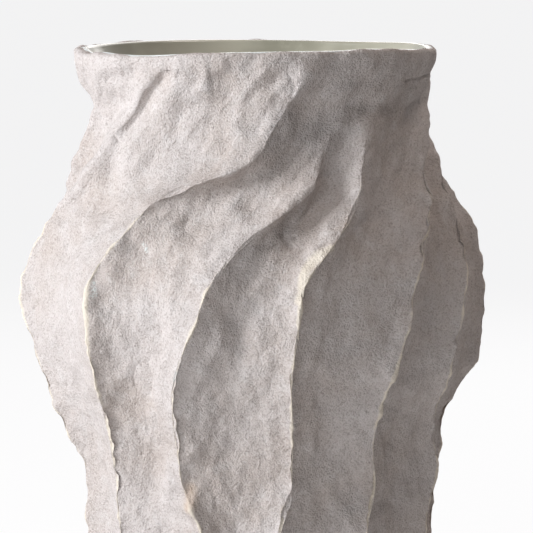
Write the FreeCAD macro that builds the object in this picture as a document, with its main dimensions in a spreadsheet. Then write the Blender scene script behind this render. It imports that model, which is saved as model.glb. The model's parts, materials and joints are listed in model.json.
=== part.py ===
import FreeCAD, Part
import math
import os
import Sketcher
from FreeCAD import Vector

# Urn vase in hand-built stoneware, in millimetres. +Z is up, the origin is the middle of the standing face, and the
# front is -Y. The potter lays a base slab on a foot ring, builds the wall up from it in six luted rings, caps the
# wall with a rim coil, presses thirteen tall clay ridges onto the outside and lines the inside with glaze. The
# ridges climb almost straight from the foot to the belly, and then sweep round the shoulder to the rim.

# Driving sizes. Each is the alias of one cell of the sheet.
SIZES = {
    # The core wall: its outer radius at the waist, and how far it swells or draws in from there.
    "waist_radius": 86.2,
    "foot_flare": 11.5,
    "belly_swell": 30.0,
    "neck_pinch": 29.2,
    "collar_flare": 10.0,
    # The core wall's stretches, from the foot ring up: to the waist, the belly, the neck and the rim's seat.
    "foot_stretch": 81.0,
    "hip_stretch": 126.0,
    "shoulder_stretch": 107.0,
    "collar_stretch": 23.0,
    "wall_thickness": 5.0,
    # The floor.
    "foot_ring_height": 4.0,
    "foot_ring_inset": 6.5,
    "foot_ring_width": 13.0,
    "foot_ring_round": 1.5,
    "slab_thickness": 10.0,
    # The rim coil, which sits on the collar and on the tops of the ridges.
    "rim_height": 11.0,
    "rim_overhang": 3.5,
    "rim_lip_thickness": 6.4,
    "rim_outer_round": 3.0,
    "rim_inner_round": 1.4,
    # The ridges.
    "ridge_rise": 12.5,
    "ridge_edge_thickness": 1.5,
    "ridge_seam_gap": 0.1,
    "ridge_bite": 3.0,
    "belly_lean": 2.5,
    # The glaze.
    "glaze_thickness": 0.8,
}

# Where the wall turns from bulging to hollow, as shares of the way from the belly to the waist and to the neck.
HIP_TURN_SHARE = 0.36
SHOULDER_TURN_SHARE = 0.475

# The luted rings of the wall, one for each stretch of its outline, from the floor up.
WALL_RINGS = ("foot_wall", "waist_wall", "hip_wall", "belly_wall", "shoulder_wall", "collar_wall")

# Levels of the ridges, as shares of their height from the foot ring to the rim seat.
LEVEL_SHARES = (0.0, 0.25, 0.33, 0.42, 0.51, 0.60, 0.67, 0.75, 0.80, 0.855, 0.915, 1.0)

# How far a crest stands out at each level, as shares of ridge_rise, and how far the right side of the vase leans out
# there, as shares of belly_lean. The left side leans in by as much.
RISE_SHARES = (0.62, 0.88, 0.90, 0.98, 1.02, 1.0, 0.99, 0.94, 0.92, 0.70, 0.45, 0.16)
LEAN_SHARES = (0.4, 1.0, 1.1, -0.9, 0.0, -0.6, -0.2, 0.4, 0.2, 0.0, 0.2, 0.0)

# Each ridge: the azimuth of its crest at each level, in degrees from the front towards the right, and how far it
# stands out at the top three levels, as shares of what the other ridges do there.
RIDGES = (
    ((-76, -78, -78, -80, -82, -84, -84, -78, -70, -59, -49, -30), (1.0, 1.1, 1.3)),
    ((-50, -51, -51, -46, -45, -44, -44, -36, -28, -3, 6, 16), (1.2, 1.6, 1.8)),
    ((-18, -17, -23, -23, -21, -15, -11, 0, 13, 21, 27, 34), (0.7, 0.2, 0.3)),
    ((8, 7, 11, 10, 9, 10, 12, 22, 29, 34, 41, 56), (1.0, 0.7, 0.3)),
    ((38, 37, 39, 36, 36, 40, 43, 53, 61, 69, 84, 102), (1.0, 1.4, 1.0)),
    ((69, 71, 75, 66, 59, 61, 65, 70, 74, 87, 104, 124), (1.0, 0.9, 0.8)),
    ((94, 96, 97, 92, 88, 88, 90, 95, 101, 113, 128, 146), (0.9, 1.0, 1.1)),
    ((120, 122, 121, 117, 114, 115, 117, 123, 130, 140, 153, 172), (1.1, 1.3, 1.4)),
    ((146, 147, 146, 141, 139, 142, 144, 150, 158, 168, 180, 196), (0.9, 0.6, 0.4)),
    ((173, 173, 170, 167, 167, 168, 170, 175, 182, 193, 206, 222), (1.0, 1.2, 1.2)),
    ((200, 199, 196, 193, 192, 195, 197, 203, 210, 220, 233, 250), (1.1, 1.1, 0.8)),
    ((229, 227, 223, 220, 219, 221, 223, 228, 236, 247, 260, 276), (0.8, 0.5, 1.6)),
    ((257, 255, 252, 249, 247, 247, 248, 253, 261, 272, 285, 303), (1.1, 1.1, 1.2)),
)

# Where the bottom of the flute lies between one crest and the next, how far out a flank is at its middle, and into
# how many steps of height a ridge is laid up over each stretch of the wall.
FLUTE_BOTTOM_SHARE = 0.46
FLANK_MIDDLE_SHARE = 0.28
RIDGE_STEPS = (5, 5, 3, 4, 5, 5)

FULL_TURN = 360.0

doc = FreeCAD.newDocument("UrnVase")


def make_sheet():
    """Puts the driving sizes into a sheet, each in a cell with its own alias."""
    cells = doc.addObject("Spreadsheet::Sheet", "Sizes")
    for row, (alias, size) in enumerate(SIZES.items(), start=1):
        cells.set(f"A{row}", alias)
        cells.set(f"B{row}", str(size))
        cells.setAlias(f"B{row}", alias)
    doc.recompute()
    return cells


sheet = make_sheet()


class Size:
    """A size worked out from the sheet: its number, and the formula that binds a constraint to the sheet."""

    def __init__(self, number, formula=None):
        self.number = float(number)
        self.formula = formula or repr(self.number)

    @staticmethod
    def of(value):
        return value if isinstance(value, Size) else Size(value)

    def __add__(self, other):
        other = Size.of(other)
        return Size(self.number + other.number, f"({self.formula} + {other.formula})")

    def __sub__(self, other):
        other = Size.of(other)
        return Size(self.number - other.number, f"({self.formula} - {other.formula})")

    def __mul__(self, other):
        other = Size.of(other)
        return Size(self.number * other.number, f"({self.formula} * {other.formula})")

    def __truediv__(self, other):
        other = Size.of(other)
        return Size(self.number / other.number, f"({self.formula} / {other.formula})")

    def root(self):
        return Size(math.sqrt(self.number), f"sqrt({self.formula})")


def cell(alias):
    """One driving size."""
    return Size(getattr(sheet, alias), f"Sizes.{alias}")


class Bend:
    """One arc of the core wall's outer face, as radius and height, which stands upright at one end.

    It bulges when side is 1 and is hollow when side is -1. centre_radius and level are its centre's."""

    def __init__(self, radius, level, curve, side):
        self.level = level
        self.curve = curve
        self.side = side
        self.centre_radius = radius - curve * side

    def curve_at(self, depth):
        """Its curve at a depth inside the outer face."""
        return self.curve - depth * self.side

    def upright(self, depth):
        """Its upright end, at a depth."""
        return (self.centre_radius + self.curve_at(depth) * self.side, self.level)

    def at_height(self, height, depth):
        """Its point at a height, at a depth."""
        curve, away = self.curve_at(depth), height - self.level
        return (self.centre_radius + (curve * curve - away * away).root() * self.side, height)


def curve_of_sweep(across, along):
    """Curve of an arc that leaves upright and runs that far across and along. Two arcs that meet share it out."""
    return (across * across + along * along) / (across * 2)


def turning_point(bulge, hollow, across, along, up, depth):
    """Where a bulge meets a hollow, at a depth. The face's normal there follows from how far they reach together."""
    reach = across * across + along * along
    out = (along * along - across * across) / reach
    rise = across * along * 2 * up / reach
    curve = bulge.curve_at(depth)
    return (bulge.centre_radius + curve * out, bulge.level + curve * rise)


class WallOutline:
    """The core wall's outline. Each stretch is one arc, and joints gives where they meet, from the floor up."""

    def __init__(self):
        self.base = cell("foot_ring_height")
        self.slab_top = self.base + cell("slab_thickness")
        waist_level = self.base + cell("foot_stretch")
        belly_level = waist_level + cell("hip_stretch")
        neck_level = belly_level + cell("shoulder_stretch")
        self.rim_seat = neck_level + cell("collar_stretch")
        waist_radius = cell("waist_radius")
        belly_radius = waist_radius + cell("belly_swell")
        neck_radius = belly_radius - cell("neck_pinch")
        self.hip = (cell("belly_swell"), cell("hip_stretch"))
        self.shoulder = (cell("neck_pinch"), cell("shoulder_stretch"))
        hip_curve, shoulder_curve = curve_of_sweep(*self.hip), curve_of_sweep(*self.shoulder)
        foot_curve = curve_of_sweep(cell("foot_flare"), cell("foot_stretch"))
        collar_curve = curve_of_sweep(cell("collar_flare"), cell("collar_stretch"))
        self.bends = (
            Bend(waist_radius, waist_level, foot_curve, -1),
            Bend(waist_radius, waist_level, hip_curve * (1 - HIP_TURN_SHARE), -1),
            Bend(belly_radius, belly_level, hip_curve * HIP_TURN_SHARE, 1),
            Bend(belly_radius, belly_level, shoulder_curve * SHOULDER_TURN_SHARE, 1),
            Bend(neck_radius, neck_level, shoulder_curve * (1 - SHOULDER_TURN_SHARE), -1),
            Bend(neck_radius, neck_level, collar_curve, -1),
        )

    def joints(self, depth, low, high):
        """Where the stretches meet at a depth inside the outer face, from the height low to the height high."""
        foot, waist, hip, belly, neck, collar = self.bends
        return (
            foot.at_height(low, depth),
            waist.upright(depth),
            turning_point(hip, waist, *self.hip, -1, depth),
            belly.upright(depth),
            turning_point(belly, neck, *self.shoulder, 1, depth),
            neck.upright(depth),
            collar.at_height(high, depth),
        )

    def arcs(self, depth):
        """Curve and side of each stretch at a depth."""
        return tuple((bend.curve_at(depth), bend.side) for bend in self.bends)

    def radius(self, height):
        """Radius of the outer face at a height, as a plain number."""
        tops = [joint[1].number for joint in self.joints(Size(0), self.base, self.rim_seat)[1:-1]]
        bend = self.bends[sum(height > top for top in tops)]
        return bend.at_height(Size(height), Size(0))[0].number


outline = WallOutline()
ridge_foot = outline.base.number
ridge_length = outline.rim_seat.number - ridge_foot


def smooth_through(places, values, at):
    """A smooth curve through the values at those places, with the slope at each taken from its neighbours."""
    last = len(places) - 1
    step = max(i for i in range(last) if i == 0 or places[i] <= at)
    slopes = []
    for i in (step, step + 1):
        low, high = max(i - 1, 0), min(i + 1, last)
        slopes.append((values[high] - values[low]) / (places[high] - places[low]))
    width = places[step + 1] - places[step]
    t = (at - places[step]) / width
    start, end = values[step], values[step + 1]
    return (
        start * (2 * t**3 - 3 * t**2 + 1)
        + end * (3 * t**2 - 2 * t**3)
        + width * slopes[0] * (t**3 - 2 * t**2 + t)
        + width * slopes[1] * (t**3 - t**2)
    )


def new_body(name):
    """A body with one upright sketch on its XZ plane, where a sketch's x is the radius and its y is the height."""
    body = doc.addObject("PartDesign::Body", name)
    body.Label = name
    plane = next(f for f in body.Origin.OriginFeatures if f.Role == "XZ_Plane")
    sketch = body.newObject("Sketcher::SketchObject", f"{name}_outline")
    sketch.AttachmentSupport = [(plane, "")]
    sketch.MapMode = "FlatFace"
    return body, sketch


def flat(corner):
    """A corner's place in a sketch."""
    return Vector(corner[0].number, corner[1].number, 0)


def arc_through(start, end, curve, side):
    """The shorter arc of that curve between two corners of a sketch, bulging away from the axis if side is 1."""
    a, b = flat(start), flat(end)
    half = (b - a) / 2
    square = Vector(half.y, -half.x, 0).normalize()
    if square.x * side < 0:
        square = -square
    sagitta = curve.number - math.sqrt(curve.number**2 - half.Length**2)
    return Part.Arc(a, a + half + square * sagitta, b)


def place_point(sketch, geometry, point, corner):
    """Binds a point of a sketch to a corner: its radius and its height each follow the sheet."""
    for kind, axis, size in (("DistanceX", -2, corner[0]), ("DistanceY", -1, corner[1])):
        if size.number == 0:
            sketch.addConstraint(Sketcher.Constraint("PointOnObject", geometry, point, axis))
        else:
            index = sketch.addConstraint(Sketcher.Constraint(kind, -1, 1, geometry, point, size.number))
            sketch.setExpression(f"Constraints[{index}]", size.formula)


def draw(sketch, corners, arcs):
    """Draws a closed outline. The stretch after corner i is straight, or arcs[i] gives its curve and side."""
    ends = []
    for i, start in enumerate(corners):
        end = corners[(i + 1) % len(corners)]
        arc = arcs.get(i)
        shape = arc_through(start, end, *arc) if arc else Part.LineSegment(flat(start), flat(end))
        geometry = sketch.addGeometry(shape, False)
        first = sketch.getPoint(geometry, 1)
        forward = first.distanceToPoint(flat(start)) < first.distanceToPoint(flat(end))
        ends.append((geometry, 1, 2) if forward else (geometry, 2, 1))
        if arc:
            index = sketch.addConstraint(Sketcher.Constraint("Radius", geometry, arc[0].number))
            sketch.setExpression(f"Constraints[{index}]", arc[0].formula)
    for i, (geometry, start, end) in enumerate(ends):
        after, after_start, _ = ends[(i + 1) % len(ends)]
        sketch.addConstraint(Sketcher.Constraint("Coincident", geometry, end, after, after_start))
        place_point(sketch, geometry, start, corners[i])


def turn(body, sketch):
    """Turns a finished sketch round the upright axis."""
    feature = body.newObject("PartDesign::Revolution", f"{body.Name}_turned")
    feature.Profile = sketch
    feature.ReferenceAxis = (sketch, ["V_Axis"])
    feature.Angle = FULL_TURN
    sketch.Visibility = False
    return feature


def make_wall_ring(name, stretch):
    """One luted ring of the core wall, over one stretch of the outline."""
    body, sketch = new_body(name)
    sides = []
    for depth in (Size(0), cell("wall_thickness")):
        joints = outline.joints(depth, outline.slab_top, outline.rim_seat)
        sides.append((joints[stretch], joints[stretch + 1], outline.arcs(depth)[stretch]))
    (outer_low, outer_high, outer_arc), (inner_low, inner_high, inner_arc) = sides
    draw(sketch, (outer_low, outer_high, inner_high, inner_low), {0: outer_arc, 2: inner_arc})
    turn(body, sketch)


def make_base_slab():
    """The floor: a slab whose edge carries on the line of the wall."""
    body, sketch = new_body("base_slab")
    foot = outline.bends[0]
    under, top = outline.base, outline.slab_top
    axis, outer_face = Size(0), Size(0)
    corners = (foot.at_height(under, outer_face), foot.at_height(top, outer_face), (axis, top), (axis, under))
    draw(sketch, corners, {0: outline.arcs(outer_face)[0]})
    turn(body, sketch)


def make_foot_ring():
    """The bare ring that the vase stands on, with softened edges."""
    body, sketch = new_body("foot_ring")
    outer = outline.bends[0].at_height(outline.base, Size(0))[0] - cell("foot_ring_inset")
    inner = outer - cell("foot_ring_width")
    floor, top = Size(0), outline.base
    draw(sketch, ((outer, floor), (outer, top), (inner, top), (inner, floor)), {})
    ring = turn(body, sketch)
    doc.recompute()
    standing = [
        f"Edge{number}"
        for number, edge in enumerate(ring.Shape.Edges, start=1)
        if edge.BoundBox.ZMax < top.number / 2 and edge.Closed
    ]
    rounded = body.newObject("PartDesign::Fillet", "foot_ring_rounded")
    rounded.Base = (ring, standing)
    rounded.setExpression("Radius", "Sizes.foot_ring_round")


def rim_crown():
    """Outer and inner radius of the rim coil's crown, and its height."""
    outer = outline.joints(Size(0), outline.base, outline.rim_seat)[-1][0] + cell("rim_overhang")
    return outer, outer - cell("rim_lip_thickness"), outline.rim_seat + cell("rim_height")


def make_rim_coil():
    """The coil that caps the wall. Its crown is rounded outside and softened inside."""
    body, sketch = new_body("rim_coil")
    outer, inner, top = rim_crown()
    seat_inner = outline.joints(cell("wall_thickness"), outline.base, outline.rim_seat)[-1]
    outer_round, inner_round = cell("rim_outer_round"), cell("rim_inner_round")
    corners = (
        seat_inner,
        (outer, outline.rim_seat),
        (outer, top - outer_round),
        (outer - outer_round, top),
        (inner + inner_round, top),
        (inner, top - inner_round),
    )
    draw(sketch, corners, {2: (outer_round, 1), 4: (inner_round, -1)})
    turn(body, sketch)


def make_glaze_lining():
    """The glaze inside: one thin skin over the floor, up the wall and to the inner edge of the rim."""
    body, sketch = new_body("glaze_lining")
    wall, skin = cell("wall_thickness"), cell("glaze_thickness")
    _, inner, top = rim_crown()
    lip = top - cell("rim_inner_round")
    floor, seat, axis = outline.slab_top, outline.rim_seat, Size(0)
    against = outline.joints(wall, floor, seat)
    face = outline.joints(wall + skin, floor + skin, seat)
    corners = (*against, (inner, lip), (inner - skin, lip), *reversed(face), (axis, floor + skin), (axis, floor))
    arcs = dict(enumerate(outline.arcs(wall)))
    first = len(against) + 2
    arcs.update({first + i: arc for i, arc in enumerate(reversed(outline.arcs(wall + skin)))})
    draw(sketch, corners, arcs)
    turn(body, sketch)


def filled_core():
    """Everything inside the wall's outer face, from the foot ring to the rim seat, as one solid of revolution."""
    outer_face, axis = Size(0), Size(0)
    joints = outline.joints(outer_face, outline.base, outline.rim_seat)
    edges = [
        arc_through(low, high, *arc).toShape()
        for low, high, arc in zip(joints, joints[1:], outline.arcs(outer_face))
    ]
    corners = (joints[-1], (axis, outline.rim_seat), (axis, outline.base), joints[0])
    edges += [Part.LineSegment(flat(a), flat(b)).toShape() for a, b in zip(corners, corners[1:])]
    face = Part.Face(Part.Wire(edges))
    face.rotate(Vector(), Vector(1, 0, 0), FULL_TURN / 4)
    return face.revolve(Vector(), Vector(0, 0, 1), FULL_TURN)


def level_heights():
    """Heights of the ridges' levels."""
    return tuple(ridge_foot + share * ridge_length for share in LEVEL_SHARES)


def crest_azimuth(number, height):
    """Azimuth of one ridge's crest at a height, counting on past the last ridge to the first."""
    turns, ridge = divmod(number, len(RIDGES))
    return smooth_through(level_heights(), RIDGES[ridge][0], height) + turns * FULL_TURN


def crest_radius(number, height):
    """How far out one ridge's crest is at a height."""
    levels = level_heights()
    top_shares = RIDGES[number][1]
    own = (1.0,) * (len(levels) - len(top_shares)) + top_shares
    rise = sheet.ridge_rise * smooth_through(levels, RISE_SHARES, height) * smooth_through(levels, own, height)
    side = math.sin(math.radians(crest_azimuth(number, height)))
    lean = sheet.belly_lean * smooth_through(levels, LEAN_SHARES, height) * side
    return flute_radius(height) + rise + lean


def flute_radius(height):
    """How far out the bottom of a flute is at a height."""
    return outline.radius(height) + sheet.ridge_edge_thickness


def flute_azimuth(number, height):
    """Azimuth of the bottom of the flute between one ridge and the next."""
    here, after = crest_azimuth(number, height), crest_azimuth(number + 1, height)
    return here + FLUTE_BOTTOM_SHARE * (after - here)


def around(radius, azimuth, height):
    """A point at a radius and an azimuth from the front."""
    angle = math.radians(azimuth)
    return Vector(radius * math.sin(angle), -radius * math.cos(angle), height)


def ridge_section(number, height):
    """One level cut through a ridge: two hollow flanks that meet in its crest, and a base that bites into the wall."""
    low, out = flute_radius(height), crest_radius(number, height)
    base = outline.radius(height) - sheet.ridge_bite
    gap = math.degrees(sheet.ridge_seam_gap / 2 / low)
    left = flute_azimuth(number - 1, height) + gap
    right = flute_azimuth(number, height) - gap
    crest = crest_azimuth(number, height)
    flank = low + FLANK_MIDDLE_SHARE * (out - low)
    return Part.Wire(
        [
            Part.Arc(
                around(low, left, height),
                around(flank, (left + crest) / 2, height),
                around(out, crest, height),
            ).toShape(),
            Part.Arc(
                around(out, crest, height),
                around(flank, (crest + right) / 2, height),
                around(low, right, height),
            ).toShape(),
            Part.LineSegment(around(low, right, height), around(base, right, height)).toShape(),
            Part.Arc(
                around(base, right, height),
                around(base, (left + right) / 2, height),
                around(base, left, height),
            ).toShape(),
            Part.LineSegment(around(base, left, height), around(low, left, height)).toShape(),
        ]
    )


def section_heights():
    """Heights that a ridge is laid up at, with one wherever two stretches of the wall meet."""
    joints = [joint[1].number for joint in outline.joints(Size(0), outline.base, outline.rim_seat)]
    heights = joints[:1]
    for low, high, steps in zip(joints, joints[1:], RIDGE_STEPS):
        heights += [low + (high - low) * step / steps for step in range(1, steps + 1)]
    return heights


def make_ridge(number, core):
    """One ridge, laid up level by level and then trimmed to the wall that it is pressed onto.

    The core is turned first, so that the seam of its surface, which starts at +X, lies opposite the ridge."""
    strip = Part.makeLoft([ridge_section(number, height) for height in section_heights()], True, False)
    belly_level = outline.bends[2].level.number
    turned_core = core.copy()
    turned_core.rotate(Vector(), Vector(0, 0, 1), crest_azimuth(number, belly_level) + FULL_TURN / 4)
    feature = doc.addObject("Part::Feature", f"ridge_{number + 1:02d}")
    feature.Label = feature.Name
    feature.Shape = strip.cut(turned_core)


def make_vase():
    make_foot_ring()
    make_base_slab()
    for stretch, name in enumerate(WALL_RINGS):
        make_wall_ring(name, stretch)
    make_rim_coil()
    make_glaze_lining()
    core = filled_core()
    for number in range(len(RIDGES)):
        make_ridge(number, core)


def pieces():
    """The objects that are pieces of the vase."""
    return [o for o in doc.Objects if o.TypeId in ("PartDesign::Body", "Part::Feature")]


def write_pieces():
    """Checks every object, then writes each piece to a file of its own name."""
    doc.recompute()
    for thing in doc.Objects:
        faults = {"Invalid", "Error"} & set(thing.State)
        if faults:
            raise RuntimeError(f"{thing.Label} is {sorted(faults)}")
    os.makedirs("parts", exist_ok=True)
    for piece in pieces():
        if piece.Shape.isNull() or not piece.Shape.isValid() or not piece.Shape.Solids:
            raise RuntimeError(f"{piece.Label} has no sound solid")
        piece.Shape.exportStep(os.path.join("parts", f"{piece.Label}.step"))
        print(piece.Label, len(piece.Shape.Solids), "solids", round(piece.Shape.Volume), "mm3")


make_vase()
write_pieces()
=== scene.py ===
import json
import math

import bpy
import numpy as np
from bpy.props import FloatProperty, FloatVectorProperty, IntProperty, PointerProperty
from mathutils import Euler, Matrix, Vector

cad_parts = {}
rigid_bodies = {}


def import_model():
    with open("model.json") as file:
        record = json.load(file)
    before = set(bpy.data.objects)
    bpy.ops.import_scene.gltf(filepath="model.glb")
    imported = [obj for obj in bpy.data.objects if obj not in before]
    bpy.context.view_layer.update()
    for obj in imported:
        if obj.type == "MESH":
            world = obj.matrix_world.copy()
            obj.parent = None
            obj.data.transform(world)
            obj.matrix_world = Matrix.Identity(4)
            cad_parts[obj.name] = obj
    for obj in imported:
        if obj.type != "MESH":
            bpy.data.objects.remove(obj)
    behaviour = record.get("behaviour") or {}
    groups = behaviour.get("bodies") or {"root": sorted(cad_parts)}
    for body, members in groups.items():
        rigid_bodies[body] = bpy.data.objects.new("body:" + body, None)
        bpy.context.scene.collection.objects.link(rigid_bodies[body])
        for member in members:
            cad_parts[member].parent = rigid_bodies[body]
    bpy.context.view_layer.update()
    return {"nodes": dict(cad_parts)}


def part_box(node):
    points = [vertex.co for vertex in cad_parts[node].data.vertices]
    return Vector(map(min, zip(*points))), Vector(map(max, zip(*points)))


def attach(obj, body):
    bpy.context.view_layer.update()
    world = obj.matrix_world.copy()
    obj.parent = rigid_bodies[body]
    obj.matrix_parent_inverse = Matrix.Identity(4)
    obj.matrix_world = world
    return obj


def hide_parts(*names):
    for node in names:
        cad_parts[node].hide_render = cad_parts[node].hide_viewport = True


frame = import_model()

bl_info = {
    "name": "Ridged Stoneware Urn Vase",
    "version": (1, 0, 0),
    "blender": (4, 5, 0),
    "location": "3D View > Sidebar > Vase",
    "description": "A hand-built urn vase with swept, pinched clay ridges and a glazed inside",
    "category": "Add Mesh",
}

BODY = "root"
CLAY_SLOT = "bare_stoneware"
GLAZE_SLOT = "inside_glaze"
WALL_NODES = (
    "foot_ring", "base_slab", "foot_wall", "waist_wall",
    "hip_wall", "belly_wall", "shoulder_wall", "collar_wall",
)

MM = 0.001
FULL_TURN = 2 * math.pi

# Levels of the ridges, as shares of their height from the foot ring to the rim's seat.
LEVEL_SHARES = (0.0, 0.25, 0.33, 0.42, 0.51, 0.60, 0.67, 0.75, 0.80, 0.855, 0.915, 1.0)

# How far a crest stands out at each level, as shares of the ridge rise, and how far the right side of the
# vase leans out there, as shares of the belly lean.
RISE_SHARES = (0.62, 0.88, 0.90, 0.98, 1.02, 1.0, 0.99, 0.94, 0.92, 0.70, 0.45, 0.16)
LEAN_SHARES = (0.4, 1.0, 1.1, -0.9, 0.0, -0.6, -0.2, 0.4, 0.2, 0.0, 0.2, 0.0)

# Each ridge: the azimuth of its crest at each level, in degrees from the front towards the right, and how far
# it stands out at the top levels, as shares of what the other ridges do there.
RIDGES = (
    ((-76, -78, -78, -80, -82, -84, -84, -78, -70, -59, -49, -30), (1.25, 1.5, 1.4)),
    ((-50, -51, -51, -46, -45, -44, -44, -36, -28, -3, 6, 16), (1.2, 1.6, 1.8)),
    ((-18, -17, -23, -23, -21, -15, -11, 0, 13, 21, 27, 34), (0.7, 0.2, 0.3)),
    ((8, 7, 11, 10, 9, 10, 12, 22, 29, 34, 41, 56), (1.2, 1.3, 1.4, 1.0, 0.3)),
    ((38, 37, 39, 36, 36, 40, 43, 53, 61, 69, 84, 102), (1.0, 1.4, 1.0)),
    ((69, 71, 75, 66, 59, 61, 65, 70, 74, 87, 104, 124), (1.0, 0.9, 0.8)),
    ((94, 96, 97, 92, 88, 88, 90, 95, 101, 113, 128, 146), (0.9, 1.0, 1.1)),
    ((120, 122, 121, 117, 114, 115, 117, 123, 130, 140, 153, 172), (1.1, 1.3, 1.4)),
    ((146, 147, 146, 141, 139, 142, 144, 150, 158, 168, 180, 196), (0.9, 0.6, 0.4)),
    ((173, 173, 170, 167, 167, 168, 170, 175, 182, 193, 206, 222), (1.0, 1.2, 1.2)),
    ((200, 199, 196, 193, 192, 195, 197, 203, 210, 220, 233, 250), (1.1, 1.1, 0.8)),
    ((229, 227, 223, 220, 219, 221, 223, 228, 236, 247, 260, 276), (0.8, 0.5, 1.6)),
    ((257, 255, 252, 249, 247, 247, 248, 253, 261, 272, 285, 303), (1.1, 1.1, 1.2)),
)

# Where the bottom of the flute lies between one crest and the next, and how the flank climbs out of it: a
# share that rises evenly, a share that fingers pinched up at the crest, and the rest, rising as the square.
FLUTE_BOTTOM_SHARE = 0.46
FLANK_EVEN_SHARE = 0.12
PINCHED_UP_SHARE = 0.15
PINCH_POWER = 9

# How softly a crest is rounded at each level, as shares of the width of its flanks, and the one crest that
# stays sharper.
ROUND_SHARES = (0.10, 0.03, 0.03, 0.03, 0.03, 0.03, 0.04, 0.06, 0.10, 0.20, 0.34, 0.40)
SHARP_RIDGE = 1
SHARP_SHARE = 0.3

# How much of its full rise a crest needs for the deepest pinch marks, the least share of them that it gets,
# and the power by which they fade out down its flanks.
FULL_PINCH_SHARE = 0.75
LEAST_PINCH_SHARE = 0.02
PINCH_FADE_POWER = 4

# How much of the ridges' sweep the marks follow.
SWEPT_SHARE = 0.55

# How much of the hands' marks the rim takes at the bottom and the top of its side, on its crown and inside.
RIM_SIDE_TOUCH_SHARES = (1.0, 0.85)
RIM_CROWN_TOUCH_SHARE = 0.05
RIM_INSIDE_TOUCH_SHARE = 0.0

# How much of the marks the long groove keeps away from it, and how much of a crest is gone at the rim.
GROOVE_CALM_SHARE = 0.75
CREST_FADE_SHARE = 0.75

# Where the wall turns from bulging to hollow, as shares of the way from the belly to the waist and the neck.
HIP_TURN_SHARE = 0.36
SHOULDER_TURN_SHARE = 0.475

# How far the rim dips below its top at some azimuths, in degrees and millimetres.
RIM_DIPS = (
    (-180, 2.0), (-150, 1.7), (-110, 2.2), (-80, 2.4), (-68, 4.2), (-60, 3.0), (-50, 3.5), (-38, 3.5),
    (-16, 1.6), (8, 0.7), (27, 0.6), (37, 0.1), (50, 0.7), (75, 2.2), (110, 1.4), (145, 2.3), (180, 2.0),
)

# Folds and cracks: the azimuth and height of their points in degrees and millimetres, and their half width
# and depth in millimetres. The first one is the long groove.
CREASES = (
    (((-29, 338), (-38, 325), (-48, 309), (-52, 297), (-55, 283)), 5.8, 3.6),
    (((-32, 334), (-40, 322), (-47, 310)), 5.4, 2.6),
    (((-54, 308), (-51, 301)), 0.8, 1.0),
    (((23, 285), (18, 279), (11, 268), (6, 260), (1, 250)), 2.2, 1.5),
    (((12, 271), (10, 262), (8, 256), (9, 250)), 2.6, 2.0),
    (((58, 334), (70, 336), (83, 337)), 0.9, 0.9),
    (((-78, 180), (-77, 169)), 0.8, 0.8),
    (((10, 340), (12, 334), (11, 328)), 1.0, 0.6),
    (((-24, 341), (-25, 336)), 1.2, 0.7),
    (((-14, 344), (-14, 330)), 1.4, 0.7),
)

# Dents that a finger left, or lumps where the depth is less than nothing: azimuth and height in degrees and
# millimetres, and half width and depth in millimetres.
DENTS = (
    ((11, 253), 1.2, 1.3), ((10, 248.5), 1.2, 1.0),
    ((12, 236), 6.0, -2.2), ((16, 246), 4.5, -1.6),
    ((-20, 262), 7.0, 1.8), ((-33, 248), 6.0, 1.3), ((-3, 272), 7.0, 1.6), ((-10, 302), 6.0, 1.2),
    ((0, 312), 5.0, 1.0), ((-24, 300), 6.0, 1.1), ((-34, 230), 7.0, 1.4), ((-27, 205), 8.0, 1.6),
    ((-32, 176), 8.0, 1.6), ((-5, 215), 7.0, 1.3), ((-6, 185), 8.0, 1.5), ((-2, 150), 8.0, 1.3),
    ((-60, 205), 8.0, 1.5), ((-64, 170), 7.0, 1.4), ((-66, 240), 8.0, 1.4), ((24, 215), 8.0, 1.0),
    ((24, 160), 9.0, 1.2), ((50, 200), 8.0, 1.4), ((47, 160), 7.0, 1.2), ((48, 250), 8.0, 1.3),
)

# Tints of single places: the name of the tint, the azimuth and height of its points in degrees and
# millimetres, and its half width in millimetres.
TINTS = (
    ("cream", ((10, 222), (12, 235), (14, 242), (19, 249)), 2.6),
    ("deposit", ((-32, 249), (-31, 246)), 2.0),
    ("deposit", ((-43, 228), (-43, 221)), 2.0),
    ("deposit", ((-20, 182), (-20, 176)), 2.0),
    ("tinge", ((-21, 117), (-22, 107)), 3.5),
)

# How finely the clay is meshed, and how much the columns crowd towards the crests.
SKIN_ROWS = 480
FLANK_COLUMNS = 48
BASE_COLUMNS = 9
RIM_SIDE_ROWS = 11
RIM_ROUND_ROWS = 7
RIM_CROWN_ROWS = 4
RIM_INNER_ROWS = 10
LIP_ROWS = 7
FLANK_CROWDING = 1.25
RIDGE_COLUMNS = 2 * FLANK_COLUMNS
ALL_COLUMNS = len(RIDGES) * RIDGE_COLUMNS

# How many rows at the rim's seat are smeared over, and how many times.
SMEARED_ROWS = 14
SMEAR_PASSES = 16

# Shares and powers of single curves: how far the lower edge is rounded in, how early the rim flares out, and
# how thick the glaze is at its upper edge.
FOOT_ROUND_SHARE = 0.6
RIM_FLARE_POWER = 1.6
LIP_THIN_SHARE = 0.75

# Colours of the lamps and of the light from all round.
COOL_LIGHT = (0.95, 0.97, 1.0)
SOFT_LIGHT = (1.0, 0.97, 0.95)
WARM_LIGHT = (1.0, 0.90, 0.84)
FILL_LIGHT = (1.0, 0.82, 0.74, 1.0)

# How far the lamps stand from the axis and how high they aim, and how far the floor reaches, in metres.
LAMP_DISTANCE = 1.6
LAMP_AIM = 0.2
FLOOR_REACH = 30.0

# The floor's own colour, how much of the backdrop's colour it shows instead, and how brightly.
FLOOR_COLOUR = (0.80, 0.80, 0.80, 1.0)
FLOOR_GLOW_SHARE = 0.86
FLOOR_GLOW = 1.15


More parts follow.
